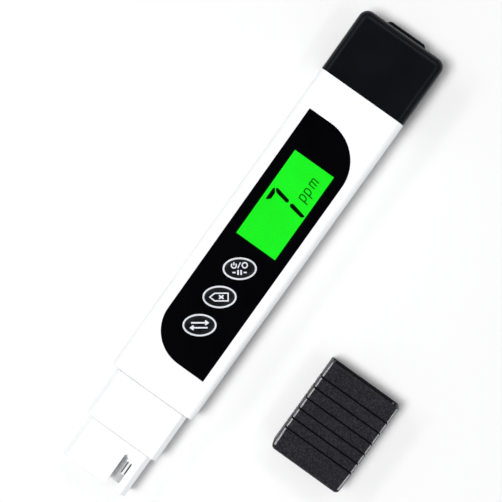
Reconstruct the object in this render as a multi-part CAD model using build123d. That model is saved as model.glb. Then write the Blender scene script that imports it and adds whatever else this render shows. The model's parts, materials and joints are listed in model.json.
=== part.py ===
from build123d import *
import math
import os

# Pocket digital water tester (conductivity pen), lying on its back.
# Row frame, millimetres: X across the pen, +Y along the pen towards the battery cap,
# +Z out of the display face. Z = 0 is the surface that the pen rests on, and the origin is
# the middle of the rear shell's flat resting face.

# ---------------------------------------------------------------- driving dimensions
BODY_W = 28.0            # housing width
BODY_T = 15.0            # housing thickness
BODY_R = 2.5             # rounding of the housing's long edges
END_R = 0.45             # rounding of the housing's lower end
Y_BOT = -51.15           # lower end of the white housing
Y_TOP = 51.15            # shoulder that the battery cap meets
WALL = 1.4               # housing wall
SPLIT_Z = 7.5            # parting plane of the two shells
ZC = BODY_T / 2          # mid plane of the pen

NECK_END = 66.0          # end of the neck inside the battery cap
NECK_WALL = 1.3
CAP_WALL = 1.3           # battery cap wall
CAP_GAP = 0.1            # clearance round the neck
CAP_SEAM = 0.08          # fine seam between the battery cap and the housing's shoulder
CAP_END = 72.1           # outer end face of the battery cap
CAP_CORNER_R = 2.8
TAB_W, TAB_END, TAB_Z0, TAB_Z1 = 12.6, 73.2, 3.4, 11.0

CHAN_W, CHAN_D, CHAN_Y0 = 10.4, 3.0, 30.4   # channel in the back for the pocket clip
CLIP_W, CLIP_Z0, CLIP_Z1, CLIP_TIP = 9.2, 0.25, 1.9, 32.0
CLIP_AXIS_Y, CLIP_AXIS_Z = 69.3, 1.3

LABEL_W, LABEL_Y0, LABEL_Y1 = 20.1, -40.0, 40.05
LABEL_R_TOP, LABEL_R_LOW = 12.8, 11.3       # the panel's two large round corners
LABEL_T, LABEL_PROUD = 0.5, 0.05
WIN_W, WIN_Y0, WIN_Y1 = 13.4, -0.2, 28.25    # visible display area

KEY_Y = (-7.9, -17.7, -27.5)                # on/off + hold, clear, mode
KEY_ANGLE = 36.0                            # the oval keys stand at an angle to the pen
KEY_A, KEY_B = 4.18, 2.54                   # key semi-axes
RING_A, RING_B, RING_T = 4.86, 3.21, 0.55   # bezel ring round each key
KEY_TRAVEL = 0.4

COLLAR_W, COLLAR_T, COLLAR_END = 24.4, 12.0, -67.1
SKIRT_W, SKIRT_T, SKIRT_END, SKIRT_WALL = 21.5, 10.0, -80.9, 1.2
NOSE_BEVEL_X, NOSE_BEVEL_Z = 1.3, 1.4      # bevelled long edges of the collar and the skirt
REVEAL, REVEAL_D = 0.4, 0.45               # shadow gap where the collar meets the housing
FINE_REVEAL, FINE_REVEAL_D = 0.25, 0.25    # and where the skirt meets the collar
DECK_Y = -71.7                              # floor of the open probe chamber
SLOT_X0, SLOT_X1 = 4.05, 7.35                # slot through both faces of the probe skirt
PIN_R, PIN_X, PIN_Z, PIN_TIP, PIN_ROOT = 0.65, 6.5, 7.85, -76.7, -57.5
SENSOR_R, SENSOR_TIP = 1.0, -77.5

PCB_Z0, PCB_Z1 = 6.2, 7.2
CELL_R, CELL_H, CELL_YS, CELL_Z0 = 5.8, 5.4, (46.6, 59.4), 6.3

PCAP_X, PCAP_MOUTH, PCAP_L = 47.95, -14.2, 30.2      # loose protective cap beside the pen
PCAP_W, PCAP_T, PCAP_R = 23.3, 11.8, 1.0
PCAP_BORE_W, PCAP_BORE_T = 21.8, 10.3
PCAP_GROOVES = (5.35, 8.95, 12.7, 16.3, 19.6, 22.9)   # grip grooves, from the mouth
GROOVE_W, GROOVE_D = 0.45, 0.35

os.makedirs("parts", exist_ok=True)


# ---------------------------------------------------------------- helpers
def save(shape, name):
    export_step(shape, f"parts/{name}.step")


def box(x0, x1, y0, y1, z0, z1):
    return Pos((x0 + x1) / 2, (y0 + y1) / 2, (z0 + z1) / 2) * Box(x1 - x0, y1 - y0, z1 - z0)


def bar_y(w, t, r, y0, y1, zc=ZC, xc=0.0):
    """Rounded rectangle, w across X and t across Z, extruded along +Y."""
    plane = Plane(origin=(xc, y0, zc), x_dir=(1, 0, 0), z_dir=(0, 1, 0))
    return extrude(plane * RectangleRounded(w, t, r), amount=y1 - y0)


def bevel_bar(w, t, y0, y1, cx=NOSE_BEVEL_X, cz=NOSE_BEVEL_Z):
    """A bar along Y with bevelled long edges, softened where the faces meet."""
    a, b = w / 2, t / 2
    plane = Plane(origin=(0, y0, ZC), x_dir=(1, 0, 0), z_dir=(0, 1, 0))
    outline = Polyline((-a, b - cz), (-a + cx, b), (a - cx, b), (a, b - cz), (a, cz - b), (a - cx, -b), (cx - a, -b), (-a, cz - b), close=True)
    return extrude(plane * fillet(make_face(outline).vertices(), 0.3), amount=y1 - y0)


def rod_y(x, z, r, y0, y1):
    plane = Plane(origin=(x, y0, z), x_dir=(1, 0, 0), z_dir=(0, 1, 0))
    return extrude(plane * Circle(r), amount=y1 - y0)


def rod_z(x, y, r, z0, z1):
    return extrude(Plane(origin=(x, y, z0)) * Circle(r), amount=z1 - z0)


def rod_x(y, z, r, x0, x1):
    plane = Plane(origin=(x0, y, z), x_dir=(0, 1, 0), z_dir=(1, 0, 0))
    return extrude(plane * Circle(r), amount=x1 - x0)


def oval_z(a, b, y, z0, z1):
    return extrude(Plane(origin=(0, y, z0)) * Rot(0, 0, KEY_ANGLE) * Ellipse(a, b), amount=z1 - z0)


def label_plate(grow, z0, z1):
    """The panel's outline: two square corners and two large round ones, extruded along Z."""
    x0, x1 = -LABEL_W / 2 - grow, LABEL_W / 2 + grow
    y0, y1 = LABEL_Y0 - grow, LABEL_Y1 + grow
    r, q = LABEL_R_TOP + grow, LABEL_R_LOW + grow
    k, m = r * (1 - math.sqrt(0.5)), q * (1 - math.sqrt(0.5))
    outline = (
        Polyline((x0, y0 + q), (x0, y1), (x1 - r, y1))
        + ThreePointArc((x1 - r, y1), (x1 - k, y1 - k), (x1, y1 - r))
        + Polyline((x1, y1 - r), (x1, y0), (x0 + q, y0))
        + ThreePointArc((x0 + q, y0), (x0 + m, y0 + m), (x0, y0 + q))
    )
    return extrude(Pos(0, 0, z0) * make_face(outline), amount=z1 - z0)


def neck_bar(grow, y0, y1):
    """The neck's outer form with the clip channel in its back, grown or shrunk by grow."""
    w, t = BODY_W - 2 * (CAP_WALL + CAP_GAP), BODY_T - 2 * (CAP_WALL + CAP_GAP)
    solid = bar_y(w + 2 * grow, t + 2 * grow, 1.5 + grow, y0, y1)
    half = CHAN_W / 2 + 1.2 + 0.2 - grow
    return solid - box(-half, half, y0 - 1, y1 + 1, -1, CHAN_D + 1.2 + 0.15 - grow)


# ---------------------------------------------------------------- housing, as one form, then split
neck_w, neck_t = BODY_W - 2 * (CAP_WALL + CAP_GAP), BODY_T - 2 * (CAP_WALL + CAP_GAP)
housing = bar_y(BODY_W, BODY_T, BODY_R, Y_BOT, Y_TOP)
housing = fillet(housing.edges().group_by(Axis.Y)[0], END_R)
housing += neck_bar(0, Y_TOP - 1.0, NECK_END)
cavity = bar_y(BODY_W - 2 * WALL, BODY_T - 2 * WALL, 1.3, Y_BOT + WALL, Y_TOP - WALL)
# channel wall inside the rear shell
cavity -= box(-CHAN_W / 2 - 1.4, CHAN_W / 2 + 1.4, CHAN_Y0 - 1.4, Y_TOP, 0, CHAN_D + 1.4)
housing -= cavity
bay = bar_y(neck_w - 2 * NECK_WALL, neck_t - 2 * NECK_WALL, 0.8, Y_TOP - WALL - 0.5, NECK_END + 1)
bay -= box(-CHAN_W / 2 - 2.5, CHAN_W / 2 + 2.5, 40, NECK_END + 2, 0, CHAN_D + 1.2 + 0.15 + 1.1)
housing -= bay
channel = box(-CHAN_W / 2, CHAN_W / 2, CHAN_Y0, Y_TOP + 1, -1, CHAN_D)
channel = fillet(channel.edges().filter_by(Axis.Z).group_by(Axis.Y)[0], 2.0)
housing -= channel
# end wall opening for the collar's spigot
housing -= bar_y(22.6, 10.6, 1.2, Y_BOT - 1, Y_BOT + WALL + 1)
# seal groove round the neck
seal_y0, seal_y1 = 54.0, 55.2
housing -= neck_bar(1.0, seal_y0, seal_y1) - neck_bar(-0.6, seal_y0 - 0.1, seal_y1 + 0.1)
# fine V line where the shells meet
housing -= bar_y(BODY_W + 2, BODY_T, 1, Y_BOT - 1, Y_TOP) & (
    box(-20, 20, -60, Y_TOP, SPLIT_Z - 0.1, SPLIT_Z + 0.1)
    - box(-BODY_W / 2 + 0.14, BODY_W / 2 - 0.14, Y_BOT + 0.14, 80, 0, 15)
)

upper = box(-20, 20, -60, 80, SPLIT_Z, 20)
lower = box(-20, 20, -60, 80, -5, SPLIT_Z)

front = housing & upper
front -= label_plate(0.06, BODY_T - LABEL_T, BODY_T + 1)
front -= box(-WIN_W / 2 - 0.3, WIN_W / 2 + 0.3, WIN_Y0 - 0.3, WIN_Y1 + 0.3, 12, BODY_T)
for y in KEY_Y:
    front -= oval_z(KEY_A + 0.25, KEY_B + 0.25, y, 12, BODY_T)
BOARD_BOSSES = [(sx * 10.2, y) for y in (35.0, -44.0) for sx in (-1, 1)]
for x, y in BOARD_BOSSES:
    boss = rod_z(x, y, 1.8, PCB_Z1, BODY_T - WALL + 0.2) & box(-12.7, 12.7, -60, 60, 0, 14)
    front += boss
    front -= rod_z(x, y, 0.72, PCB_Z1 - 1, 11.5)
SHELL_SCREWS = [(-9.3, 60.5), (9.3, 60.5)]
for x, y in SHELL_SCREWS:
    front += rod_z(x, y, 1.7, SPLIT_Z, 12.6)
    front -= rod_z(x, y, 0.72, SPLIT_Z - 1, 10.5)
save(front, "front_shell")

rear = housing & lower
for x, y in SHELL_SCREWS:
    rear += rod_z(x, y, 1.7, 2.4, SPLIT_Z)
    rear -= rod_z(x, y, 0.8, 0, SPLIT_Z + 1)
    rear -= rod_z(x, y, 1.4, 0, 2.6)
# ribs that carry the board's edges
for x0, x1 in ((-12.8, -11.0), (11.0, 12.8)):
    for y in (-30.0, -10.0, 12.0):
        rear += box(x0, x1, y - 0.6, y + 0.6, 1.0, PCB_Z0 - 0.05)
save(rear, "rear_shell")

# ---------------------------------------------------------------- panel, window and bezels
panel = label_plate(0, BODY_T - LABEL_T, BODY_T + LABEL_PROUD)
panel -= box(-WIN_W / 2, WIN_W / 2, WIN_Y0, WIN_Y1, 12, 20)
for y in KEY_Y:
    panel -= oval_z(RING_A, RING_B, y, 12, 20)
save(panel, "label_panel")

window = box(-WIN_W / 2 + 0.03, WIN_W / 2 - 0.03, WIN_Y0 + 0.03, WIN_Y1 - 0.03, BODY_T - LABEL_T, BODY_T + 0.02)
window += box(-WIN_W / 2 - 0.25, WIN_W / 2 + 0.25, WIN_Y0 - 0.25, WIN_Y1 + 0.25, 13.7, BODY_T - LABEL_T)
save(window, "display_window")

rings = []
for y in KEY_Y:
    ring = oval_z(RING_A - 0.02, RING_B - 0.02, y, BODY_T - LABEL_T, BODY_T + 0.2)
    ring = fillet(ring.edges().group_by(Axis.Z)[-1], 0.12)
    ring -= oval_z(RING_A - RING_T, RING_B - RING_T, y, 12, 20)
    rings.append(ring)
save(Compound(children=rings), "key_bezels")

# ---------------------------------------------------------------- keys and switches
SW_TOP = 10.7
for name, y in zip(("on_off", "clear", "mode"), KEY_Y):
    dome_r = 30.0
    key = oval_z(KEY_A, KEY_B, y, 13.0, 16.0) & (Pos(0, y, 15.55 - dome_r) * Sphere(dome_r))
    key += oval_z(KEY_A + 0.8, KEY_B + 0.8, y, 12.65, 13.5)
    key += rod_z(0, y, 1.6, 12.0, 12.8)
    save(key, f"{name}_key")
    plunger = rod_z(0, y, 1.65, 9.4, 12.0) + rod_z(0, y, 2.1, 9.4, 9.9)
    save(plunger, f"{name}_plunger")

bases, covers = [], []
for y in KEY_Y:
    base = box(-3.0, 3.0, y - 3.0, y + 3.0, PCB_Z1, SW_TOP - 0.3)
    base -= rod_z(0, y, 2.3, 8.4, 12)
    bases.append(base)
    cover = box(-3.0, 3.0, y - 3.0, y + 3.0, SW_TOP - 0.3, SW_TOP)
    cover -= rod_z(0, y, 1.8, 8, 12)
    covers.append(cover)
save(Compound(children=bases), "tact_switch_bases")
save(Compound(children=covers), "tact_switch_covers")

# ---------------------------------------------------------------- display stack
save(box(-8.2, 8.2, -1.2, 30.4, 11.5, 13.5), "lcd_glass")
save(box(-8.2, 8.2, 1.3, 30.4, 9.2, 11.45), "backlight_guide")
frame = box(-9.4, 9.4, -2.3, 31.8, PCB_Z1, 13.2) - box(-8.3, 8.3, -1.3, 30.5, 9.15, 14)
frame -= box(-7.6, 7.6, -1.1, 0.9, 0, 14)
frame -= box(-7.0, 7.0, 2.2, 29.4, 0, 14)
save(frame, "lcd_frame")
save(box(-7.5, 7.5, -1.0, 0.8, PCB_Z1 + 0.02, 11.46), "zebra_connector")
leds = [box(x - 0.8, x + 0.8, 24.0, 25.6, PCB_Z1, PCB_Z1 + 1.2) for x in (-3.5, 3.5)]
save(Compound(children=leds), "backlight_leds")

# ---------------------------------------------------------------- circuit board
board = box(-11.8, 11.8, -46.5, 38.5, PCB_Z0, PCB_Z1) + box(-8.0, 8.0, -60.0, -46.0, PCB_Z0, PCB_Z1)
for x, y in BOARD_BOSSES:
    board -= rod_z(x, y, 0.8, 0, 20)
save(board, "main_board")


def board_screw(x, y):
    head = rod_z(x, y, 1.4, PCB_Z0 - 1.0, PCB_Z0)
    head = fillet(head.edges().group_by(Axis.Z)[0], 0.4)
    screw = head + rod_z(x, y, 0.65, PCB_Z0 - 0.2, 11.0)
    return screw - box(x - 1.0, x + 1.0, y - 0.18, y + 0.18, 4.9, 5.6) - box(x - 0.18, x + 0.18, y - 1.0, y + 1.0, 4.9, 5.6)


save(Compound(children=[board_screw(x, y) for x, y in BOARD_BOSSES]), "board_screws")


def shell_screw(x, y):
    screw = rod_z(x, y, 1.3, 1.6, 2.58) + rod_z(x, y, 0.65, 2.4, 10.0)
    return screw - box(x - 0.9, x + 0.9, y - 0.18, y + 0.18, 1.2, 2.1) - box(x - 0.18, x + 0.18, y - 0.9, y + 0.9, 1.2, 2.1)


save(Compound(children=[shell_screw(x, y) for x, y in SHELL_SCREWS]), "shell_screws")

chip = box(-4.0, 4.0, -22.0, -14.0, PCB_Z0 - 1.5, PCB_Z0 - 0.15)
leg_boxes = []
for i in range(8):
    o = -3.15 + i * 0.9
    leg_boxes += [
        box(o - 0.18, o + 0.18, -18.0 - 5.0, -18.0 - 3.9, PCB_Z0 - 0.5, PCB_Z0),
        box(o - 0.18, o + 0.18, -18.0 + 3.9, -18.0 + 5.0, PCB_Z0 - 0.5, PCB_Z0),
        box(-5.0, -3.9, -18.0 + o - 0.18, -18.0 + o + 0.18, PCB_Z0 - 0.5, PCB_Z0),
        box(3.9, 5.0, -18.0 + o - 0.18, -18.0 + o + 0.18, PCB_Z0 - 0.5, PCB_Z0),
    ]
for leg in leg_boxes:
    chip += leg
save(chip, "control_chip")

memory = box(-2.5, 2.5, -37.0, -33.0, PCB_Z0 - 1.5, PCB_Z0 - 0.1)
for i in range(4):
    for y0, y1 in ((-38.0, -36.9), (-33.1, -32.0)):
        memory += box(-2.1 + i * 1.27, -1.7 + i * 1.27, y0, y1, PCB_Z0 - 0.5, PCB_Z0)
save(memory, "memory_chip")

can = rod_x(-28.0, PCB_Z0 - 1.0, 1.0, -3.0, 3.0)
save(can, "clock_crystal")

caps = [box(x - 1.0, x + 1.0, y - 0.6, y + 0.6, PCB_Z0 - 1.0, PCB_Z0) for x, y in ((-7.5, -6.0), (7.5, -6.0), (-7.0, -33.0), (7.0, -33.0), (0.0, -5.0), (0.0, 12.0))]
save(Compound(children=caps), "capacitors")
res = [box(x - 0.8, x + 0.8, y - 0.4, y + 0.4, PCB_Z0 - 0.5, PCB_Z0) for x, y in ((-7.5, 0.0), (-7.5, 3.0), (7.5, 0.0), (7.5, 3.0), (-4.0, -43.0), (0.0, -43.0), (4.0, -43.0), (-7.0, -28.0))]
save(Compound(children=res), "resistors")

# ---------------------------------------------------------------- nose: collar, gasket, probe skirt
collar = bevel_bar(COLLAR_W, COLLAR_T, COLLAR_END, Y_BOT)
collar = fillet(collar.edges().group_by(Axis.Y)[0], 0.3)
collar -= bevel_bar(COLLAR_W + 4, COLLAR_T + 4, Y_BOT - REVEAL, Y_BOT + 1) - bevel_bar(COLLAR_W - 2 * REVEAL_D, COLLAR_T - 2 * REVEAL_D, Y_BOT - 1, Y_BOT + 2)
collar += bar_y(22.4, 10.4, 1.1, Y_BOT - 0.5, Y_BOT + WALL + 0.9)
collar += bar_y(24.6, 11.9, 1.1, Y_BOT + WALL + 0.8, Y_BOT + WALL + 2.2)
collar -= bar_y(20.4, 8.0, 0.8, COLLAR_END - 1, Y_BOT + WALL + 3)
save(collar, "probe_collar")

gasket = bar_y(24.5, 11.8, 1.1, Y_BOT + WALL, Y_BOT + WALL + 0.8)
gasket -= bar_y(22.44, 10.44, 1.12, Y_BOT, Y_BOT + WALL + 2)
save(gasket, "collar_gasket")

skirt = bevel_bar(SKIRT_W, SKIRT_T, SKIRT_END, COLLAR_END)
skirt = fillet(skirt.edges().group_by(Axis.Y)[0], 0.25)
skirt -= bevel_bar(SKIRT_W + 4, SKIRT_T + 4, COLLAR_END - FINE_REVEAL, COLLAR_END + 1) - bevel_bar(SKIRT_W - 2 * FINE_REVEAL_D, SKIRT_T - 2 * FINE_REVEAL_D, COLLAR_END - 1, COLLAR_END + 2)
skirt += bar_y(20.2, 7.8, 0.7, COLLAR_END - 0.5, -60.5)
skirt -= bar_y(SKIRT_W - 2 * SKIRT_WALL, SKIRT_T - 2 * SKIRT_WALL, 0.5, SKIRT_END - 1, DECK_Y)
skirt -= box(SLOT_X0, SLOT_X1, SKIRT_END - 1, DECK_Y, 0, 15)
notch = box(SLOT_X0, 5.4, DECK_Y - 1, DECK_Y + 1.6, 0, 15)
notch = chamfer(notch.edges().filter_by(Axis.Z).group_by(Axis.Y)[-1], 0.5)
skirt -= notch & (box(-20, 20, -90, -60, 9.0, 15) + box(-20, 20, -90, -60, 0, 6.0))
for x in (-PIN_X, PIN_X):
    skirt -= rod_y(x, PIN_Z, PIN_R + 0.01, DECK_Y - 1, -60)
    skirt -= rod_y(x, PIN_Z, 1.2, DECK_Y - 1, DECK_Y + 0.8)
skirt -= rod_y(0, PIN_Z, SENSOR_R + 0.01, DECK_Y - 1, -66)
skirt -= rod_y(0, PIN_Z, SENSOR_R + 0.55, DECK_Y - 1, DECK_Y + 0.8)
skirt -= rod_y(0, PCB_Z1 + 0.3, 0.31, -67, -60)
save(skirt, "probe_skirt")

for name, x in (("electrode_pin_left", -PIN_X), ("electrode_pin_right", PIN_X)):
    pin = rod_y(x, PIN_Z, PIN_R, PIN_TIP, PIN_ROOT)
    pin = fillet(pin.edges().group_by(Axis.Y)[0], 0.25)
    save(pin, name)
sensor = rod_y(0, PIN_Z, SENSOR_R, SENSOR_TIP, -66.02)
sensor = fillet(sensor.edges().group_by(Axis.Y)[0], 0.9)
sensor += rod_y(0, PCB_Z1 + 0.3, 0.3, -66.5, PIN_ROOT)
save(sensor, "temperature_sensor")

seals = [rod_y(x, PIN_Z, 1.18, DECK_Y, DECK_Y + 0.78) - rod_y(x, PIN_Z, PIN_R + 0.005, -80, -60) for x in (-PIN_X, PIN_X)]
seals.append(rod_y(0, PIN_Z, SENSOR_R + 0.53, DECK_Y, DECK_Y + 0.78) - rod_y(0, PIN_Z, SENSOR_R + 0.005, -80, -60))
save(Compound(children=seals), "pin_seal_rings")

# ---------------------------------------------------------------- battery end
seal = neck_bar(0.02, seal_y0 + 0.05, seal_y1 - 0.05) - neck_bar(-0.58, seal_y0 - 1, seal_y1 + 1)
save(seal, "neck_seal")

leaf_specs = (("contact_leaf_positive", -4.0, -2.0, CELL_YS[0]), ("contact_leaf_negative", 2.0, 4.0, CELL_YS[1]))
for name, x0, x1, y in leaf_specs:
    leaf = box(x0, x1, 36.0, y + 1.8, 12.05, 12.25)
    leaf += box(x0, x1, 36.0, 36.2, PCB_Z1, 12.25)
    leaf += box(x0, x1, y - 0.6, y + 0.6, 11.78, 12.1)
    save(leaf, name)

cap = box(-BODY_W / 2, BODY_W / 2, Y_TOP + CAP_SEAM, CAP_END, 0, BODY_T)
cap = fillet(cap.edges().filter_by(Axis.Z).group_by(Axis.Y)[-1], CAP_CORNER_R)
rim = [e for e in cap.edges().filter_by_position(Axis.Z, BODY_T, BODY_T) if e.center().Y > Y_TOP + CAP_SEAM + 0.01]
rim += [e for e in cap.edges().filter_by_position(Axis.Z, 0, 0) if e.center().Y > Y_TOP + CAP_SEAM + 0.01]
cap = fillet(rim, BODY_R)
tab = make_face(Polyline((-TAB_W / 2 - 0.7, CAP_END - 3.5), (-TAB_W / 2 - 0.7, CAP_END - 0.1), (-TAB_W / 2 + 0.7, TAB_END), (TAB_W / 2 - 0.7, TAB_END), (TAB_W / 2 + 0.7, CAP_END - 0.1), (TAB_W / 2 + 0.7, CAP_END - 3.5), close=True))
tab = extrude(Pos(0, 0, TAB_Z0) * tab, amount=TAB_Z1 - TAB_Z0)
tab = fillet(tab.edges().filter_by(Axis.Z).group_by(Axis.Y)[-1], 0.9)
tab = fillet(tab.edges().group_by(Axis.Y)[-1], 0.4)
cap += tab
inner = bar_y(BODY_W - 2 * CAP_WALL, BODY_T - 2 * CAP_WALL, 1.6, Y_TOP - 1, CAP_END - 1.4)
inner -= box(-CHAN_W / 2 - 1.2, CHAN_W / 2 + 1.2, Y_TOP - 2, CAP_END, -1, CHAN_D + 1.2)
cap -= inner
cap -= box(-CHAN_W / 2, CHAN_W / 2, Y_TOP - 1, CAP_END + 2, -1, CHAN_D)
for x0, x1 in ((-6.0, -5.0), (5.0, 6.0)):
    cap -= rod_x(CLIP_AXIS_Y, CLIP_AXIS_Z, 0.85, x0, x1)
save(cap, "battery_cap")

clip = box(-CLIP_W / 2, CLIP_W / 2, CLIP_TIP, 71.2, CLIP_Z0, CLIP_Z1)
clip = fillet(clip.edges().filter_by(Axis.Z).group_by(Axis.Y)[0], 2.2)
clip = chamfer(clip.edges().group_by(Axis.Z)[0], 0.35)
clip += rod_x(33.9, 1.9, 0.9, -3.2, 3.2) & box(-5, 5, 30, 40, 1.5, 4)
clip += rod_x(CLIP_AXIS_Y, CLIP_AXIS_Z, 0.6, -5.85, 5.85)
save(clip, "pocket_clip")

carrier = box(-7.0, 7.0, 40.0, CAP_END - 1.4, 5.55, 12.2)
carrier = fillet(carrier.edges().filter_by(Axis.Y), 0.5)
for y in CELL_YS:
    carrier -= rod_z(0, y, CELL_R + 0.1, 6.05, 15)
carrier -= box(-4.4, 4.4, 39, 66.0, 11.55, 15)
carrier -= box(-2.6, 2.6, 50.0, 56.0, 6.05, 8.0)
save(carrier, "battery_carrier")
save(box(-2.5, 2.5, CELL_YS[0] - 4.0, CELL_YS[1] + 4.0, 6.06, 6.26), "cell_link_strip")

for name, y in (("button_cell_inner", CELL_YS[0]), ("button_cell_outer", CELL_YS[1])):
    lower_first = name == "button_cell_outer"
    can_z0 = CELL_Z0 + (0.0 if lower_first else 0.7)
    cell = rod_z(0, y, CELL_R, can_z0, can_z0 + CELL_H - 0.7)
    cell = fillet(cell.edges(), 0.3)
    cell += rod_z(0, y, CELL_R - 1.0, CELL_Z0, CELL_Z0 + CELL_H)
    save(cell, name)

# ---------------------------------------------------------------- loose protective cap, lying beside the pen
zc = PCAP_T / 2
y_end = PCAP_MOUTH - PCAP_L
pcap = bar_y(PCAP_W, PCAP_T, PCAP_R, y_end, PCAP_MOUTH, zc, PCAP_X)
pcap = fillet(pcap.edges().group_by(Axis.Y)[0], 0.9)
pcap -= bar_y(PCAP_BORE_W, PCAP_BORE_T, 1.3, y_end + 1.3, PCAP_MOUTH + 1, zc, PCAP_X)
pcap = fillet(pcap.edges().group_by(Axis.Y)[-1], 0.22)
for d in PCAP_GROOVES:
    y = PCAP_MOUTH - d
    band = bar_y(PCAP_W + 2, PCAP_T + 2, PCAP_R, y - GROOVE_W / 2, y + GROOVE_W / 2, zc, PCAP_X)
    band -= bar_y(PCAP_W - 2 * GROOVE_D, PCAP_T - 2 * GROOVE_D, PCAP_R - GROOVE_D, y - 1, y + 1, zc, PCAP_X)
    pcap -= band
save(pcap, "probe_cap")
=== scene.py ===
import json
import math

import bmesh
import bpy
from mathutils import Matrix, Vector


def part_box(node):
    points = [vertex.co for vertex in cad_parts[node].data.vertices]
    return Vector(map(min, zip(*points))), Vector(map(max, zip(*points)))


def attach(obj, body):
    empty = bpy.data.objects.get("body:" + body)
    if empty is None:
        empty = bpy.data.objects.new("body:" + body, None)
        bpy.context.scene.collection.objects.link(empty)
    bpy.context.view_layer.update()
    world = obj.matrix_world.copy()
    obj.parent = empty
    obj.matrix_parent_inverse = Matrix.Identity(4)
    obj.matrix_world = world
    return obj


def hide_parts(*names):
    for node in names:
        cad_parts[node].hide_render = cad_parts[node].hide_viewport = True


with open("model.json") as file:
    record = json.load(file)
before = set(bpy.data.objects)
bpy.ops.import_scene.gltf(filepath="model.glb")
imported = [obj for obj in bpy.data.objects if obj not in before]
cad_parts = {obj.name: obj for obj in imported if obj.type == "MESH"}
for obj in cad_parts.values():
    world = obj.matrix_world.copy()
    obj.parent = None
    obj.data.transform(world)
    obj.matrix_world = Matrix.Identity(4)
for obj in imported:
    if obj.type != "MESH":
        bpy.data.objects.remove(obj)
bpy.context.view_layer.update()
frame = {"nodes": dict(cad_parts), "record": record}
MM = 0.001

# ------------------------------------------------------------------ sizes shared with the CAD model, in mm
KEY_ANGLE = math.radians(36.0)
KEYS = (("on_off", -7.9), ("clear", -17.7), ("mode", -27.5))


# ------------------------------------------------------------------ material helpers
def new_mat(name):
    m = bpy.data.materials.new(name)
    m.use_nodes = True
    t = m.node_tree
    t.nodes.clear()
    out = t.nodes.new("ShaderNodeOutputMaterial")
    b = t.nodes.new("ShaderNodeBsdfPrincipled")
    t.links.new(b.outputs[0], out.inputs[0])
    co = t.nodes.new("ShaderNodeTexCoord")
    return m, t, b, co


def noise(t, co, scale, detail=3.0, rough=0.5, stretch=None):
    """Noise in row-frame coordinates; scale is in features per millimetre."""
    n = t.nodes.new("ShaderNodeTexNoise")
    n.inputs["Scale"].default_value = scale * 1000.0
    n.inputs["Detail"].default_value = detail
    n.inputs["Roughness"].default_value = rough
    if stretch:
        mp = t.nodes.new("ShaderNodeMapping")
        mp.inputs["Scale"].default_value = stretch
        t.links.new(co.outputs["Object"], mp.inputs[0])
        t.links.new(mp.outputs[0], n.inputs["Vector"])
    else:
        t.links.new(co.outputs["Object"], n.inputs["Vector"])
    return n


def ramp(t, src, stops):
    r = t.nodes.new("ShaderNodeValToRGB")
    e = r.color_ramp.elements
    while len(e) < len(stops):
        e.new(0.5)
    for i, (p, c) in enumerate(stops):
        e[i].position = p
        e[i].color = (*c, 1.0) if len(c) == 3 else c
    t.links.new(src, r.inputs[0])
    return r


def remap(t, src, lo, hi):
    m = t.nodes.new("ShaderNodeMapRange")
    m.inputs["From Min"].default_value = 0.3
    m.inputs["From Max"].default_value = 0.7
    m.inputs["To Min"].default_value = lo
    m.inputs["To Max"].default_value = hi
    t.links.new(src, m.inputs[0])
    return m


def bump(t, b, srcs, dist_mm, strength=1.0):
    prev = None
    for src, d in zip(srcs, dist_mm):
        n = t.nodes.new("ShaderNodeBump")
        n.inputs["Strength"].default_value = strength
        n.inputs["Distance"].default_value = d * MM
        t.links.new(src, n.inputs["Height"])
        if prev:
            t.links.new(prev.outputs[0], n.inputs["Normal"])
        prev = n
    t.links.new(prev.outputs[0], b.inputs["Normal"])


def surface(name, c_lo, c_hi, rough, metallic=0.0, spec=0.5, grain=(6.0, 0.002), blotch=0.12,
            coat=0.0, coat_rough=0.05, stretch=None, ior=1.5, detail=3.0, wave=None):
    """A moulded, machined or rubbery surface: two close tones mixed by a slow noise, roughness that drifts,
    and a fine grain in the normal."""
    m, t, b, co = new_mat(name)
    slow = noise(t, co, blotch, 4.0)
    fine = noise(t, co, grain[0], detail, 0.6, stretch)
    r = ramp(t, slow.outputs[0], [(0.35, c_lo), (0.65, c_hi)])
    t.links.new(r.outputs[0], b.inputs["Base Color"])
    rr = remap(t, fine.outputs[0], rough[0], rough[1])
    t.links.new(rr.outputs[0], b.inputs["Roughness"])
    b.inputs["Metallic"].default_value = metallic
    b.inputs["Specular IOR Level"].default_value = spec
    b.inputs["IOR"].default_value = ior
    b.inputs["Coat Weight"].default_value = coat
    b.inputs["Coat Roughness"].default_value = coat_rough
    srcs, d = [fine.outputs[0]], [grain[1]]
    if wave:
        w = noise(t, co, wave[0], 1.0)
        srcs.append(w.outputs[0])
        d.append(wave[1])
    bump(t, b, srcs, d)
    return m


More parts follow.
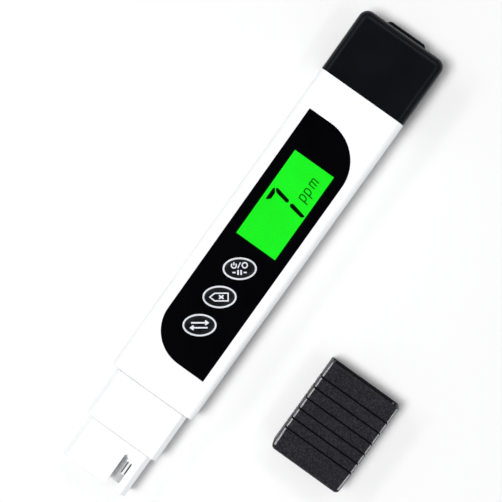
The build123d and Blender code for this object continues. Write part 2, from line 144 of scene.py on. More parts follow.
def grip_mat(name, edge_highlight):
    """Spark-eroded charcoal plastic: salt and pepper grain about 0.3 mm across over a slow drift of tone.
    With the edge flag set, the grain is smoother and glossier, and its pale grey base colour is a painted highlight for
    the cap's long edges."""
    m, t, b, co = new_mat(name)
    slow = noise(t, co, 0.12, 3.0)
    grain = noise(t, co, 2.6, 6.0, 0.7)
    pit = t.nodes.new("ShaderNodeTexVoronoi")
    pit.inputs["Scale"].default_value = 3400.0
    t.links.new(co.outputs["Object"], pit.inputs["Vector"])
    dark = ramp(t, grain.outputs[0], [(0.41, (0.0040, 0.0038, 0.0062)), (0.50, (0.0115, 0.0108, 0.0150)), (0.60, (0.0330, 0.0310, 0.0385))])
    tint = ramp(t, slow.outputs[0], [(0.35, (0.86, 0.86, 0.88)), (0.65, (1.0, 1.0, 1.0))])
    mix = t.nodes.new("ShaderNodeMix")
    mix.data_type = "RGBA"
    mix.blend_type = "MULTIPLY"
    mix.inputs[0].default_value = 1.0
    t.links.new(dark.outputs[0], mix.inputs[6])
    t.links.new(tint.outputs[0], mix.inputs[7])
    if edge_highlight:
        # painted highlight: a pale grey base colour for the long edges, with a smoother, glossier grain
        highlight_tone = ramp(t, grain.outputs[0], [(0.36, (0.17, 0.17, 0.18)), (0.60, (0.44, 0.44, 0.455))])
        t.links.new(highlight_tone.outputs[0], b.inputs["Base Color"])
        rr = remap(t, grain.outputs[0], 0.20, 0.36)
        b.inputs["Specular IOR Level"].default_value = 0.9
    else:
        t.links.new(mix.outputs[2], b.inputs["Base Color"])
        rr = remap(t, grain.outputs[0], 0.42, 0.66)
        b.inputs["Specular IOR Level"].default_value = 0.35
    t.links.new(rr.outputs[0], b.inputs["Roughness"])
    bump(t, b, [grain.outputs[0], pit.outputs["Distance"]], [0.012 if edge_highlight else 0.06, 0.004 if edge_highlight else 0.02])
    return m


MATS = {
    "white_housing": surface("white_housing_abs", (0.825, 0.83, 0.838), (0.85, 0.855, 0.86), (0.24, 0.32),
                             grain=(5.0, 0.0012), wave=(0.08, 0.01)),
    "white_nose": surface("white_nose_abs", (0.805, 0.81, 0.818), (0.83, 0.835, 0.84), (0.30, 0.38),
                          grain=(5.0, 0.0015), wave=(0.1, 0.008)),
    "black_cap": surface("black_cap_satin", (0.0018, 0.0021, 0.0034), (0.0028, 0.0032, 0.0052), (0.30, 0.42), spec=0.20,
                         grain=(7.0, 0.003), wave=(0.15, 0.006)),
    "charcoal_cap": grip_mat("charcoal_grip", 0.0),
    # the long-edge version of the cap plastic, whose pale base colour is a painted highlight
    "charcoal_edge": grip_mat("charcoal_edge_painted_highlight", 1.0),
    # groove floors: a much darker base colour than the cap plastic, painted shade in the recesses
    "charcoal_groove": surface("charcoal_groove_painted_shade", (0.0012, 0.0012, 0.0018), (0.0024, 0.0024, 0.0032), (0.6, 0.75), spec=0.12,
                               grain=(3.0, 0.01)),
    "black_panel": surface("panel_gloss_black", (0.0008, 0.0008, 0.0012), (0.0014, 0.0013, 0.002), (0.10, 0.16),
                           spec=0.15, grain=(4.0, 0.0006), wave=(0.06, 0.003)),
    "silver_ring": surface("bezel_silver", (0.80, 0.82, 0.88), (0.90, 0.92, 0.97), (0.22, 0.32), metallic=0.25,
                           grain=(8.0, 0.001)),
    "key_black": surface("key_black_coat", (0.0022, 0.0024, 0.0036), (0.0036, 0.0040, 0.0058), (0.24, 0.34), spec=0.6,
                         grain=(3.0, 0.0004)),
    "plunger_plastic": surface("plunger_nylon", (0.02, 0.02, 0.022), (0.035, 0.035, 0.04), (0.45, 0.6)),
    "switch_base": surface("switch_nylon", (0.025, 0.025, 0.028), (0.045, 0.045, 0.05), (0.5, 0.65), grain=(8.0, 0.004)),
    "tinplate": surface("tinned_steel", (0.55, 0.55, 0.53), (0.68, 0.68, 0.66), (0.25, 0.4), metallic=1.0,
                        grain=(3.0, 0.002), stretch=(1, 12, 1)),
    "light_guide": surface("milky_acrylic", (0.62, 0.86, 0.62), (0.72, 0.95, 0.72), (0.25, 0.35)),
    "led": surface("led_resin", (0.25, 0.85, 0.25), (0.4, 0.98, 0.4), (0.15, 0.2)),
    "zebra_rubber": surface("zebra_silicone", (0.16, 0.15, 0.18), (0.28, 0.26, 0.31), (0.5, 0.65), stretch=(14, 1, 1),
                            grain=(2.0, 0.01)),
    "frame_white": surface("frame_matte_abs", (0.74, 0.75, 0.74), (0.82, 0.83, 0.82), (0.45, 0.6), grain=(6.0, 0.004)),
    "board_green": surface("solder_mask", (0.008, 0.07, 0.03), (0.015, 0.12, 0.05), (0.25, 0.4), grain=(2.0, 0.006),
                           blotch=0.8, coat=0.3),
    "chip_black": surface("moulded_epoxy", (0.016, 0.016, 0.018), (0.03, 0.03, 0.033), (0.5, 0.65), grain=(12.0, 0.006)),
    "crystal_steel": surface("nickel_can", (0.6, 0.6, 0.58), (0.72, 0.72, 0.7), (0.2, 0.3), metallic=1.0),
    "ceramic_tan": surface("chip_ceramic", (0.36, 0.23, 0.12), (0.5, 0.35, 0.2), (0.4, 0.55)),
    "screw_steel": surface("zinc_steel", (0.48, 0.49, 0.51), (0.62, 0.63, 0.65), (0.28, 0.42), metallic=1.0,
                           grain=(6.0, 0.003)),
    "spring_brass": surface("flashed_brass", (0.72, 0.50, 0.20), (0.85, 0.64, 0.30), (0.2, 0.32), metallic=1.0,
                            grain=(4.0, 0.002), stretch=(1, 10, 1)),
    "cell_steel": surface("nickel_cell", (0.62, 0.63, 0.64), (0.74, 0.75, 0.76), (0.20, 0.28), metallic=1.0,
                          grain=(1.2, 0.0006), stretch=(1, 6, 1)),
    "seal_rubber": surface("black_nitrile", (0.016, 0.016, 0.018), (0.03, 0.03, 0.032), (0.5, 0.7), grain=(8.0, 0.004)),
    "seal_grey": surface("grey_silicone", (0.42, 0.43, 0.44), (0.52, 0.53, 0.54), (0.4, 0.55), grain=(8.0, 0.004)),
    "pin_metal": surface("pin_plating", (0.90, 0.90, 0.90), (0.96, 0.96, 0.96), (0.30, 0.42), metallic=0.1,
                         grain=(6.0, 0.0015), stretch=(1, 0.15, 1)),
    "sensor_steel": surface("sensor_sheath", (0.5, 0.51, 0.52), (0.62, 0.63, 0.64), (0.2, 0.32), metallic=1.0,
                            grain=(6.0, 0.002), stretch=(1, 0.2, 1)),
}


def glass_mat():
    m, t, b, co = new_mat("window_acrylic")
    fine = noise(t, co, 1.5, 2.0)
    b.inputs["Roughness"].default_value = 0.0
    c = ramp(t, fine.outputs[0], [(0.3, (0.985, 1.0, 0.985)), (0.7, (1.0, 1.0, 1.0))])
    t.links.new(c.outputs[0], b.inputs["Base Color"])
    b.inputs["Transmission Weight"].default_value = 1.0
    b.inputs["IOR"].default_value = 1.49
    b.inputs["Specular IOR Level"].default_value = 0.3
    return m


def lcd_mat():
    """Lit green cell: almost even and faintly mottled."""
    m, t, b, co = new_mat("lcd_backlit_green")
    slow = noise(t, co, 0.08, 2.0)
    c = ramp(t, slow.outputs[0], [(0.3, (0.0085, 0.93, 0.012)), (0.7, (0.010, 0.99, 0.016))])
    t.links.new(c.outputs[0], b.inputs["Emission Color"])
    b.inputs["Emission Strength"].default_value = 1.0
    fine = noise(t, co, 8.0, 2.0)
    cc = ramp(t, fine.outputs[0], [(0.3, (0.002, 0.02, 0.003)), (0.7, (0.003, 0.03, 0.004))])
    t.links.new(cc.outputs[0], b.inputs["Base Color"])
    rr = remap(t, fine.outputs[0], 0.25, 0.35)
    t.links.new(rr.outputs[0], b.inputs["Roughness"])
    return m


MATS["clear_window"] = glass_mat()
MATS["lcd"] = lcd_mat()
SLOT_OF = {s["node"]: s["material_slot"] for s in frame["record"]["subparts"]}
for node, obj in frame["nodes"].items():
    m = MATS[SLOT_OF[node]]
    if not obj.material_slots:
        obj.data.materials.append(m)
    for s in obj.material_slots:
        s.material = m


# ------------------------------------------------------------------ mesh helpers, working in mm and the row frame
def to_object(name, verts, faces, mat, body, slot, smooth=True, sharp_deg=38.0):
    me = bpy.data.meshes.new(name)
    me.from_pydata([(x * MM, y * MM, z * MM) for x, y, z in verts], [], faces)
    bm = bmesh.new()
    bm.from_mesh(me)
    bmesh.ops.remove_doubles(bm, verts=bm.verts, dist=1e-7)
    bmesh.ops.recalc_face_normals(bm, faces=bm.faces)
    for f in bm.faces:
        f.smooth = smooth
    for e in bm.edges:
        if len(e.link_faces) == 2 and e.calc_face_angle(0.0) > math.radians(sharp_deg):
            e.smooth = False
    bm.to_mesh(me)
    bm.free()
    me.materials.append(mat)
    o = bpy.data.objects.new(name, me)
    bpy.context.scene.collection.objects.link(o)
    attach(o, body)
    return o


def key_frame(y):
    """Origin and axes of a key's own plane: u runs across the photographer's view, v up it."""
    u = Vector((math.cos(KEY_ANGLE), math.sin(KEY_ANGLE), 0))
    v = Vector((-math.sin(KEY_ANGLE), math.cos(KEY_ANGLE), 0))
    return Vector((0, y, 0)), u, v


def ribbon(points, width, closed=False):
    """A flat stroke of the given width along a polyline: returns 2-D quads with mitred joints."""
    n = len(points)
    left, right = [], []
    for i, p in enumerate(points):
        p = Vector(p)
        a = Vector(points[(i - 1) % n]) if (closed or i > 0) else None
        b = Vector(points[(i + 1) % n]) if (closed or i < n - 1) else None
        d1 = (p - a).normalized() if a is not None else None
        d2 = (b - p).normalized() if b is not None else None
        d = (d1 + d2).normalized() if (d1 is not None and d2 is not None) else (d1 or d2)
        nn = Vector((-d.y, d.x))
        k = 1.0
        if d1 is not None and d2 is not None:
            k = 1.0 / max(0.5, nn.dot(Vector((-d1.y, d1.x))))
        left.append(p + nn * width / 2 * k)
        right.append(p - nn * width / 2 * k)
    polys = []
    m = n if closed else n - 1
    for i in range(m):
        j = (i + 1) % n
        polys.append([left[i], left[j], right[j], right[i]])
    return polys


def decal(name, polys, origin, u, v, z_of, thick, mat, body, slot):
    """Thin raised ink: each flat polygon becomes a slab that follows the height z_of(x, y)."""
    verts, faces = [], []
    for poly in polys:
        k = len(poly)
        base = len(verts)
        for lift in (0.0, thick):
            for p in poly:
                w = origin + u * p[0] + v * p[1]
                verts.append((w.x, w.y, z_of(w.x, w.y) + lift))
        faces.append([base + i for i in range(k)][::-1])
        faces.append([base + k + i for i in range(k)])
        for i in range(k):
            j = (i + 1) % k
            faces.append([base + i, base + j, base + k + j, base + k + i])
    return to_object(name, verts, faces, mat, body, slot, smooth=False)


# ------------------------------------------------------------------ display content
INK_LCD = surface("lcd_segment_ink", (0.0006, 0.0035, 0.0006), (0.0012, 0.006, 0.0012), (0.35, 0.5), spec=0.1, grain=(6.0, 0.001))
INK_LCD_FINE = surface("lcd_legend_ink", (0.001, 0.035, 0.001), (0.002, 0.05, 0.002), (0.35, 0.5), spec=0.1, grain=(6.0, 0.001))
INK_KEY = surface("legend_ink", (0.62, 0.65, 0.71), (0.74, 0.77, 0.82), (0.35, 0.45), grain=(8.0, 0.002))

O0, UX, UY = Vector((-0.15, -0.6, 0)), Vector((1, 0, 0)), Vector((0, 1, 0))
LCD_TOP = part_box("lcd_glass")[1].z / MM


def flat_z(z):
    return lambda x, y: z


# a slanted seven-segment figure: the top bar and the two right-hand bars are lit
SEG_TOP = [(-5.32, 12.95), (-5.42, 13.35), (-5.38, 16.60), (-5.05, 16.95), (-4.22, 15.95), (-4.13, 15.45), (-4.15, 13.85), (-4.85, 13.05)]
SEG_UPPER = [(-4.75, 17.05), (-4.20, 17.35), (0.15, 16.45), (0.45, 16.0), (0.30, 15.60), (-0.05, 15.38), (-3.90, 16.08), (-4.50, 16.65)]
SEG_LOWER = [(1.20, 15.45), (1.22, 15.85), (1.55, 16.15), (2.05, 16.20), (6.42, 15.25), (6.46, 14.90), (5.75, 14.32), (1.60, 15.0)]
decal("display_figure", [SEG_TOP, SEG_UPPER, SEG_LOWER], O0, UX, UY, flat_z(LCD_TOP + 0.02), 0.04, INK_LCD, "housing", "lcd")


def unit_strokes():
    """The unit under the figure, three small strokes-drawn letters that read along the pen."""
    out = []

    def letter_p(x, y):
        out.extend(ribbon([(x, y), (x + 3.2, y - 0.31)], 0.30))
        out.extend(ribbon([(x + 0.25, y + 0.02), (x + 0.02, y + 0.45), (x + 0.0, y + 0.85), (x + 0.22, y + 1.18), (x + 0.75, y + 1.28),
                           (x + 1.35, y + 1.22), (x + 1.85, y + 0.98), (x + 2.12, y + 0.55), (x + 2.08, y + 0.15), (x + 1.85, y - 0.10)], 0.30))

    letter_p(2.0, 18.62)
    letter_p(2.15, 20.78)
    x, y = 2.15, 23.35
    out.extend(ribbon([(x - 0.05, y), (x + 2.12, y - 0.27)], 0.30))
    for k in (0, 1):
        yy = y + k * 0.98
        out.extend(ribbon([(x + 0.35, yy - 0.02), (x + 0.02, yy + 0.34), (x - 0.02, yy + 0.66), (x + 0.14, yy + 0.90), (x + 0.45, yy + 0.96),
                           (x + 2.2, yy + 0.71)], 0.30))
    return out


decal("display_unit", unit_strokes(), O0, UX, UY, flat_z(LCD_TOP + 0.02), 0.03, INK_LCD_FINE, "housing", "lcd")


# ------------------------------------------------------------------ keys, bezels and their legends
def loft(rings, cap_start=True, cap_end=True):
    """Quads between closed rings of equal length, with fans that close the ends."""
    verts, faces = [], []
    n = len(rings[0])
    for r in rings:
        verts.extend(r)
    for i in range(len(rings) - 1):
        for j in range(n):
            k = (j + 1) % n
            faces.append([i * n + j, i * n + k, (i + 1) * n + k, (i + 1) * n + j])
    if cap_start:
        faces.append(list(range(n))[::-1])
    if cap_end:
        faces.append([(len(rings) - 1) * n + j for j in range(n)])
    return verts, faces


def ellipse_ring(y, a, b, z, n=128):
    ring = []
    for i in range(n):
        t = 2 * math.pi * i / n
        u, v = a * math.cos(t), b * math.sin(t)
        ring.append((u * math.cos(KEY_ANGLE) - v * math.sin(KEY_ANGLE), y + u * math.sin(KEY_ANGLE) + v * math.cos(KEY_ANGLE), z))
    return ring


KEY_A, KEY_B, KEY_TOP = 4.18, 2.54, 15.52


def key_height(rho):
    """Top of a key: a shallow dish in the middle, a soft crown near the rim, then the rounded edge."""
    dish = 0.10 * math.exp(-((rho / 0.55) ** 2) * 1.2)
    return KEY_TOP - dish - 0.27 * max(0.0, rho - 0.45) ** 2 / 0.3


def add_weighted(o):
    m = o.modifiers.new("normals", "WEIGHTED_NORMAL")
    m.keep_sharp = True
    m.weight = 80


for key, ky in KEYS:
    rings = [ellipse_ring(ky, 1.6, 1.6, 12.0), ellipse_ring(ky, 1.6, 1.6, 12.65), ellipse_ring(ky, KEY_A + 0.75, KEY_B + 0.75, 12.65),
             ellipse_ring(ky, KEY_A + 0.8, KEY_B + 0.8, 12.72), ellipse_ring(ky, KEY_A + 0.8, KEY_B + 0.8, 13.43),
             ellipse_ring(ky, KEY_A + 0.75, KEY_B + 0.75, 13.5), ellipse_ring(ky, KEY_A, KEY_B, 13.5)]
    edge = 0.22
    z_edge = key_height(1.0 - edge / KEY_B)
    rings.append(ellipse_ring(ky, KEY_A, KEY_B, z_edge - edge - 0.05))
    for i in range(0, 9):
        t = math.pi / 2 * i / 8
        rings.append(ellipse_ring(ky, KEY_A - edge * (1 - math.cos(t)), KEY_B - edge * (1 - math.cos(t)), z_edge - edge + edge * math.sin(t)))
    for i in range(1, 22):
        rho = (1 - edge / KEY_B) * (1 - i / 22)
        rings.append(ellipse_ring(ky, (KEY_A - edge) * (1 - i / 22), (KEY_B - edge) * (1 - i / 22), key_height(rho)))
    rings.append(ellipse_ring(ky, 0.02, 0.015, key_height(0)))
    o = to_object(key + "_key_cap", *loft(rings), MATS["key_black"], key + "_button", "key_black")
    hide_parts(key + "_key")

verts, faces = [], []
for key, ky in KEYS:
    a0, b0, w, zt, rr = 4.84, 3.19, 0.53, 15.2, 0.16
    rings = [ellipse_ring(ky, a0 - w, b0 - w, 14.5), ellipse_ring(ky, a0, b0, 14.5)]
    for i in range(0, 7):
        t = math.pi / 2 * i / 6
        rings.append(ellipse_ring(ky, a0 - rr * (1 - math.cos(t)), b0 - rr * (1 - math.cos(t)), zt - rr + rr * math.sin(t)))
    for i in range(0, 7):
        t = math.pi / 2 * i / 6
        rings.append(ellipse_ring(ky, a0 - w + rr - rr * math.sin(t), b0 - w + rr - rr * math.sin(t), zt - rr + rr * math.cos(t)))
    rings.append(rings[0])
    v, f = loft(rings, False, False)
    faces.extend([[i + len(verts) for i in q] for q in f])
    verts.extend(v)
o = to_object("key_bezel_rings", verts, faces, MATS["silver_ring"], "housing", "silver_ring")
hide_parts("key_bezels")


def key_z(ky):
    def z(x, y):
        d = Vector((x, y - ky))
        u = d.x * math.cos(KEY_ANGLE) + d.y * math.sin(KEY_ANGLE)
        v = -d.x * math.sin(KEY_ANGLE) + d.y * math.cos(KEY_ANGLE)
        return key_height(math.hypot(u / KEY_A, v / KEY_B)) - 0.02
    return z


def arc(cx, cy, r, a0, a1, n=22):
    return [(cx + r * math.cos(math.radians(a0 + (a1 - a0) * i / n)), cy + r * math.sin(math.radians(a0 + (a1 - a0) * i / n))) for i in range(n + 1)]


def bar(x0, y0, x1, y1, w, parts=6):
    pts = [(x0 + (x1 - x0) * i / parts, y0 + (y1 - y0) * i / parts) for i in range(parts + 1)]
    return ribbon(pts, w)


STROKE = 0.36


def ring_stroke(cx, cy, rx, ry, w, n=26):
    return ribbon([(cx + rx * math.cos(2 * math.pi * i / n), cy + ry * math.sin(2 * math.pi * i / n)) for i in range(n)], w, closed=True)


def dense(points, step=0.2):
    """A closed outline with extra points along its sides, so that the ink follows the key's dished top."""
    out = []
    for i, a in enumerate(points):
        b = points[(i + 1) % len(points)]
        k = max(1, round(math.dist(a, b) / step))
        out.extend([(a[0] + (b[0] - a[0]) * j / k, a[1] + (b[1] - a[1]) * j / k) for j in range(k)])
    return out


# on/off and hold: a power sign, a slash and an open ring over a pause sign between two dashes
power = ribbon(arc(-1.60, 0.92, 0.70, 134, 406), STROKE) + bar(-1.60, 0.98, -1.60, 1.86, STROKE)
slash = bar(-0.50, 0.16, 0.24, 1.78, 0.30, 8)
ring_off = ring_stroke(1.46, 0.98, 0.72, 0.74, STROKE)
pause = bar(-0.44, -1.74, -0.44, -0.36, 0.48) + bar(0.44, -1.74, 0.44, -0.36, 0.48)
dashes = bar(-2.02, -1.05, -1.12, -1.05, 0.40) + bar(1.12, -1.05, 2.02, -1.05, 0.40)
# clear: a backspace sign
back = ribbon(dense([(-1.35, 1.08), (2.45, 1.08), (2.45, -1.08), (-1.35, -1.08), (-2.70, 0.0)]), STROKE, closed=True)
cross = bar(-0.15, -0.48, 1.15, 0.48, 0.40) + bar(-0.15, 0.48, 1.15, -0.48, 0.40)


def arrow(y, d):
    """Mode: one of two opposed arrows."""
    tip = 2.45 * d
    return bar(-2.35 * d, y, tip - 0.15 * d, y, 0.42, 14) + ribbon([(tip - 0.82 * d, y + 0.60), (tip - 0.41 * d, y + 0.30), (tip, y), (tip - 0.41 * d, y - 0.30), (tip - 0.82 * d, y - 0.60)], 0.42)


LEGENDS = {"on_off": power + slash + ring_off + pause + dashes, "clear": back + cross, "mode": arrow(0.70, 1) + arrow(-0.70, -1)}
for key, ky in KEYS:
    o3, u3, v3 = key_frame(ky)
    decal(key + "_legend", LEGENDS[key], o3, u3, v3, key_z(ky), 0.05, INK_KEY, key + "_button", "silver_ring")


# ------------------------------------------------------------------ the loose protective cap, remade with fine edges
def rr_ring(y, hw, ht, r, cx, cz, m=9, side=1):
    """A rounded rectangle in the XZ plane at the given y, as a closed ring."""
    r = max(min(r, hw - 1e-4, ht - 1e-4), 1e-4)
    ring = []
    for sx, sz, a0 in ((1, 1, 0), (-1, 1, 90), (-1, -1, 180), (1, -1, 270)):
        for i in range(m + 1):
            t = math.radians(a0 + 90 * i / m)
            ring.append((cx + sx * (hw - r) + r * math.cos(t), y, cz + sz * (ht - r) + r * math.sin(t)))
    return ring


PCAP_LO, PCAP_HI = (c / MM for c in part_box("probe_cap"))
PW, PT = (PCAP_HI.x - PCAP_LO.x) / 2, (PCAP_HI.z - PCAP_LO.z) / 2
PX, PZ = (PCAP_HI.x + PCAP_LO.x) / 2, (PCAP_HI.z + PCAP_LO.z) / 2
P_MOUTH, P_END, P_R = PCAP_HI.y, PCAP_LO.y, 1.0
EDGE_LO, EDGE_HI = 20.0, 52.0      # tilt of the painted-highlight strip on the long edges, in degrees from level
GROOVES, G_W, G_D = (5.35, 8.95, 12.7, 16.3, 19.6, 22.9), 0.45, 0.35


def build_loose_cap():
    rings = []
    add = lambda y, inset, r=P_R: rings.append(rr_ring(y, PW - inset, PT - inset, max(r - inset, 0.15), PX, PZ))
    # cavity floor and walls, from the inside out
    bw, bt, br = 10.9, 5.15, 1.3
    inner = lambda y, grow=0.0: rings.append(rr_ring(y, bw + grow, bt + grow, br, PX, PZ))
    inner(P_END + 1.3, -0.5)
    inner(P_END + 1.45, -0.12)
    inner(P_END + 1.8)
    inner(P_MOUTH - 2.6)
    inner(P_MOUTH - 2.5, 0.06)
    inner(P_MOUTH - 0.35, 0.06)
    inner(P_MOUTH - 0.12, 0.14)
    inner(P_MOUTH - 0.02, 0.30)
    # rim and outside, back to the closed end
    rim = 0.20
    for i in range(0, 7):
        t = math.pi / 2 * i / 6
        add(P_MOUTH - rim + rim * math.cos(t), rim - rim * math.sin(t))
    lip = 0.07
    for g in GROOVES:
        y = P_MOUTH - g
        h = G_W / 2
        for dy, ins in ((h + lip, 0), (h + lip * 0.4, lip * 0.18), (h + 0.0, lip * 0.9), (h - 0.03, G_D * 0.6), (h - 0.08, G_D * 0.93), (0.06, G_D),
                        (-0.06, G_D), (-h + 0.08, G_D * 0.93), (-h + 0.03, G_D * 0.6), (-h, lip * 0.9), (-h - lip * 0.4, lip * 0.18), (-h - lip, 0)):
            add(y + dy, ins)
    er = 1.3
    for i in range(0, 10):
        t = math.pi / 2 * i / 9
        add(P_END + er - er * math.sin(t), er - er * math.cos(t), 1.4)
    v, f = loft(rings)
    o = to_object("probe_cap_shell", v, f, MATS["charcoal_cap"], "loose_probe_cap", "charcoal_cap", sharp_deg=50.0)
    o.data.materials.append(MATS["charcoal_edge"])
    o.data.materials.append(MATS["charcoal_groove"])
    for poly in o.data.polygons:
        c = poly.center / MM
        n = poly.normal
        inset = min(PW - abs(c.x - PX), PT - abs(c.z - PZ))
        if P_END + 1.2 < c.y < P_MOUTH - 0.3:
            # faces in the grooves take the groove material, whose darker colour is painted shade
            if 0.12 < inset < 0.50 and (abs(n.y) > 0.3 or inset > G_D - 0.03):
                near_groove = min(abs(c.y - (P_MOUTH - g)) for g in GROOVES)
                if near_groove < G_W / 2 + 0.02:
                    poly.material_index = 2
            # faces tilted 20–52 degrees from level along the long edges take the edge material: a painted highlight
            if n.z > 0.3 and abs(n.y) < 0.12 and EDGE_LO < math.degrees(math.atan2(abs(n.x), n.z)) < EDGE_HI:
                near_groove = min(abs(c.y - (P_MOUTH - g)) for g in GROOVES)
                if near_groove > G_W / 2 + 0.05:
                    poly.material_index = 1
    add_weighted(o)
    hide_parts("probe_cap")
    # four low guide ribs inside, which steady the cap on the probe's flat faces
    verts, faces = [], []
    for x in (-6.0, 6.0):
        for sz in (-1, 1):
            z0 = PZ + sz * 5.15
            z1 = PZ + sz * 5.09
            base = len(verts)
            for yy in (P_END + 2.2, P_MOUTH - 3.2):
                verts.extend([(PX + x - 0.35, yy, z0), (PX + x - 0.25, yy, z1), (PX + x + 0.25, yy, z1), (PX + x + 0.35, yy, z0)])
            faces.extend([[base, base + 1, base + 5, base + 4], [base + 1, base + 2, base + 6, base + 5], [base + 2, base + 3, base + 7, base + 6],
                          [base, base + 3, base + 2, base + 1], [base + 4, base + 5, base + 6, base + 7], [base + 3, base, base + 4, base + 7]])
    to_object("probe_cap_ribs", verts, faces, MATS["charcoal_cap"], "loose_probe_cap", "charcoal_cap", smooth=False)


build_loose_cap()


# ------------------------------------------------------------------ probe chamber: painted shade, a grey sheet behind the slot and dark bands along the pins' flanks
# painted shade: the mid-grey material of the sheet seen through the slot
SLOT_PAINTED_SHADE = surface("chamber_painted_shade_grey", (0.33, 0.335, 0.34), (0.40, 0.405, 0.41), (0.5, 0.62), spec=0.2, grain=(5.0, 0.003))


def paint_chamber_light_gradient(m):
    """Painted light on the chamber sheet: its base colour is pale near x = 4.2 mm, where the slot's left edge shades
    it, and darker towards x = 7 mm under the pin, where the light falls, so the slot looks an even grey.
    """
    t = m.node_tree
    b = next(n for n in t.nodes if n.type == "BSDF_PRINCIPLED")
    co = next(n for n in t.nodes if n.type == "TEX_COORD")
    sep = t.nodes.new("ShaderNodeSeparateXYZ")
    t.links.new(co.outputs["Object"], sep.inputs[0])
    rng = t.nodes.new("ShaderNodeMapRange")
    rng.inputs["From Min"].default_value = 0.0042
    rng.inputs["From Max"].default_value = 0.0070
    t.links.new(sep.outputs["X"], rng.inputs[0])
    # painted light: paler where the slot edge shades the sheet, darker where the light falls
    tone = ramp(t, rng.outputs[0], [(0.0, (0.88, 0.885, 0.89)), (1.0, (0.44, 0.445, 0.45))])
    grain = next(n for n in t.nodes if n.type == "TEX_NOISE" and n.inputs["Scale"].default_value > 1000.0)
    fleck = ramp(t, grain.outputs[0], [(0.3, (0.93, 0.93, 0.93)), (0.7, (1.0, 1.0, 1.0))])
    mix = t.nodes.new("ShaderNodeMix")
    mix.data_type = "RGBA"
    mix.blend_type = "MULTIPLY"
    mix.inputs[0].default_value = 1.0
    t.links.new(tone.outputs[0], mix.inputs[6])
    t.links.new(fleck.outputs[0], mix.inputs[7])
    t.links.new(mix.outputs[2], b.inputs["Base Color"])


paint_chamber_light_gradient(SLOT_PAINTED_SHADE)
# painted shade: near-black material for the bands down the pins' sides, standing in for the dark sides of a lit rod
PIN_PAINTED_SHADE = surface("pin_flank_painted_shade", (0.010, 0.010, 0.012), (0.022, 0.022, 0.026), (0.4, 0.55), spec=0.3, grain=(6.0, 0.002), stretch=(1, 0.2, 1))


def build_chamber():
    # painted shade: a thin grey sheet against the chamber's back wall, standing in for the shaded inside seen through
    # the slot
    x0, x1, y0, y1, z0, z1, c = 2.6, 9.40, -80.55, -71.80, 3.72, 3.80, 0.3
    outline = [(x0 + c, y0), (x1 - c, y0), (x1, y0 + c), (x1, y1), (x0, y1), (x0, y0 + c)]
    verts = [(x, y, z0) for x, y in outline] + [(x, y, z1) for x, y in outline]
    n = len(outline)
    faces = [list(range(n))[::-1], list(range(n, 2 * n))] + [[i, (i + 1) % n, n + (i + 1) % n, n + i] for i in range(n)]
    to_object("chamber_painted_shade_sheet", verts, faces, SLOT_PAINTED_SHADE, "housing", "seal_grey", smooth=False)
    # painted shade: dark bands along both sides of each pin, which leave a pale line along its top and its underside
    pin_lo, pin_hi = (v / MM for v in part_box("electrode_pin_right"))
    px, pz, r = (pin_lo.x + pin_hi.x) / 2, (pin_lo.z + pin_hi.z) / 2, (pin_hi.z - pin_lo.z) / 2
    verts, faces = [], []
    for sx in (-1, 1):
        for side in (0, 180):
            base, m = len(verts), 12
            for y in (pin_lo.y + 0.30, -71.9):
                for rad in (r - 0.01, r + 0.03):
                    for i in range(m + 1):
                        t = math.radians(side - 56 + 112 * i / m)
                        verts.append((sx * px + rad * math.cos(t), y, pz + rad * math.sin(t)))
            k = m + 1
            for i in range(m):
                a, b, c0, d = base + i, base + k + i, base + 2 * k + i, base + 3 * k + i
                faces += [[a, a + 1, b + 1, b], [c0, d, d + 1, c0 + 1], [a, c0, c0 + 1, a + 1], [b, b + 1, d + 1, d]]
            for i in (0, m):
                faces.append([base + i, base + k + i, base + 3 * k + i, base + 2 * k + i])
    to_object("pin_painted_shade_bands", verts, faces, PIN_PAINTED_SHADE, "housing", "seal_rubber")


build_chamber()


# ------------------------------------------------------------------ floor, lights and camera
def area(name, loc, target, size, power, color=(1, 1, 1), size_y=None):
    d = bpy.data.lights.new(name, "AREA")
    d.energy = power
    d.color = color
    d.shape = "RECTANGLE"
    d.size = size
    d.size_y = size_y or size
    o = bpy.data.objects.new(name, d)
    bpy.context.scene.collection.objects.link(o)
    o.location = loc
    o.rotation_mode = "QUATERNION"
    o.rotation_quaternion = (Vector(target) - Vector(loc)).to_track_quat("-Z", "Y")
    return o


def build_floor():
    m, t, b, co = new_mat("pale_floor")
    slow = noise(t, co, 0.004, 3.0)
    r = ramp(t, slow.outputs[0], [(0.3, (0.80, 0.80, 0.80)), (0.7, (0.815, 0.815, 0.815))])
    t.links.new(r.outputs[0], b.inputs["Base Color"])
    b.inputs["Roughness"].default_value = 0.8
    b.inputs["Specular IOR Level"].default_value = 0.1
    # seen from below the floor is clear, so that the underside can be looked at
    geo = t.nodes.new("ShaderNodeNewGeometry")
    clear = t.nodes.new("ShaderNodeBsdfTransparent")
    mix = t.nodes.new("ShaderNodeMixShader")
    out = next(n for n in t.nodes if n.type == "OUTPUT_MATERIAL")
    t.links.new(geo.outputs["Backfacing"], mix.inputs[0])
    t.links.new(b.outputs[0], mix.inputs[1])
    t.links.new(clear.outputs[0], mix.inputs[2])
    t.links.new(mix.outputs[0], out.inputs[0])
    me = bpy.data.meshes.new("floor")
    s = 3.0
    me.from_pydata([(-s, -s, -0.00005), (s, -s, -0.00005), (s, s, -0.00005), (-s, s, -0.00005)], [], [(0, 1, 2, 3)])
    me.materials.append(m)
    o = bpy.data.objects.new("floor", me)
    bpy.context.scene.collection.objects.link(o)


build_floor()

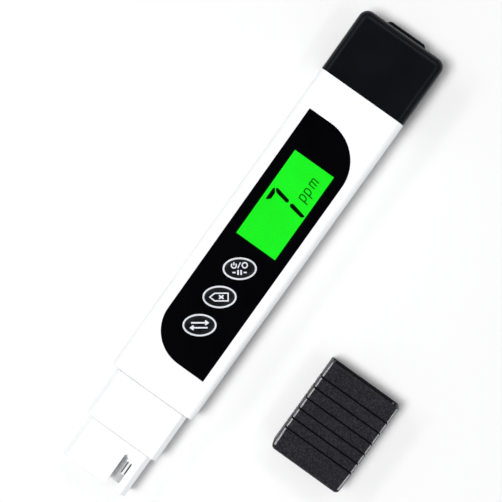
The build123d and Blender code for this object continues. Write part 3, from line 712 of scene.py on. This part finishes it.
scene = bpy.context.scene
scene.view_settings.view_transform = "Standard"
world = bpy.data.worlds.new("studio")
scene.world = world
world.use_nodes = True
wt = world.node_tree
wt.nodes.clear()
wo = wt.nodes.new("ShaderNodeOutputWorld")
bg = wt.nodes.new("ShaderNodeBackground")
wc = wt.nodes.new("ShaderNodeTexCoord")
sep = wt.nodes.new("ShaderNodeSeparateXYZ")
wr = wt.nodes.new("ShaderNodeValToRGB")
wt.links.new(wc.outputs["Generated"], sep.inputs[0])
wt.links.new(sep.outputs["Z"], wr.inputs[0])
e = wr.color_ramp.elements
e[0].position, e[0].color = 0.0, (0.62, 0.63, 0.65, 1)
e[1].position, e[1].color = 0.97, (0.06, 0.06, 0.065, 1)
mid = e.new(0.55)
mid.color = (0.72, 0.73, 0.75, 1)
hi = e.new(0.85)
hi.color = (0.30, 0.30, 0.31, 1)
wt.links.new(wr.outputs[0], bg.inputs[0])
bg.inputs[1].default_value = 0.34
wt.links.new(bg.outputs[0], wo.inputs[0])

# the view's own axes on the table: right and up as the camera sees them
RIGHT = Vector((0.81268, 0.57868, -0.06842))
DOWN = Vector((0.58162, -0.81272, 0.03464))
FWD = Vector((-0.03556, -0.06794, -0.99706))
CAM = Vector((0.01468, 0.02663, 0.43507))
cam_data = bpy.data.cameras.new("camera")
cam_data.sensor_width = 36.0
cam_data.lens = 36.0 * 1500.0 / 502.0
cam_data.clip_start, cam_data.clip_end = 0.02, 20.0
cam = bpy.data.objects.new("camera", cam_data)
scene.collection.objects.link(cam)
cam.rotation_mode = "QUATERNION"
cam.matrix_world = Matrix.Translation(CAM) @ Matrix(
    ((RIGHT.x, -DOWN.x, -FWD.x), (RIGHT.y, -DOWN.y, -FWD.y), (RIGHT.z, -DOWN.z, -FWD.z))).to_4x4()
scene.camera = cam

centre = Vector((0.02, -0.01, 0.0))
r2 = Vector((RIGHT.x, RIGHT.y, 0)).normalized()
u2 = -Vector((DOWN.x, DOWN.y, 0)).normalized()


def place(right, up, height):
    return centre + r2 * right + u2 * up + Vector((0, 0, height))


key = area("key", place(-0.21, -0.03, 1.0), centre, 0.27, 8.8)
key.visible_glossy = False      # the key only lays the soft shadow; the strips below make the reflections
key.visible_transmission = False
# slim strips, square to the pen, draw the highlights along its rounded edges
area("strip_left", centre + Vector((-0.66, 0.0, 0.76)), centre, 0.70, 1.35, size_y=0.15)
area("strip_right", centre + Vector((0.50, 0.0, 0.95)), centre, 0.70, 1.00, size_y=0.11)
area("strip_far", centre + Vector((0.0, 0.60, 0.84)), centre, 0.70, 1.25, size_y=0.15)
# a low, weak fill keeps the white housing pale down its right-hand edge
fill = area("fill_right", centre + Vector((0.9, 0.0, 0.20)), centre + Vector((0, 0, 0.01)), 0.70, 0.8, size_y=0.25)
fill.visible_glossy = False
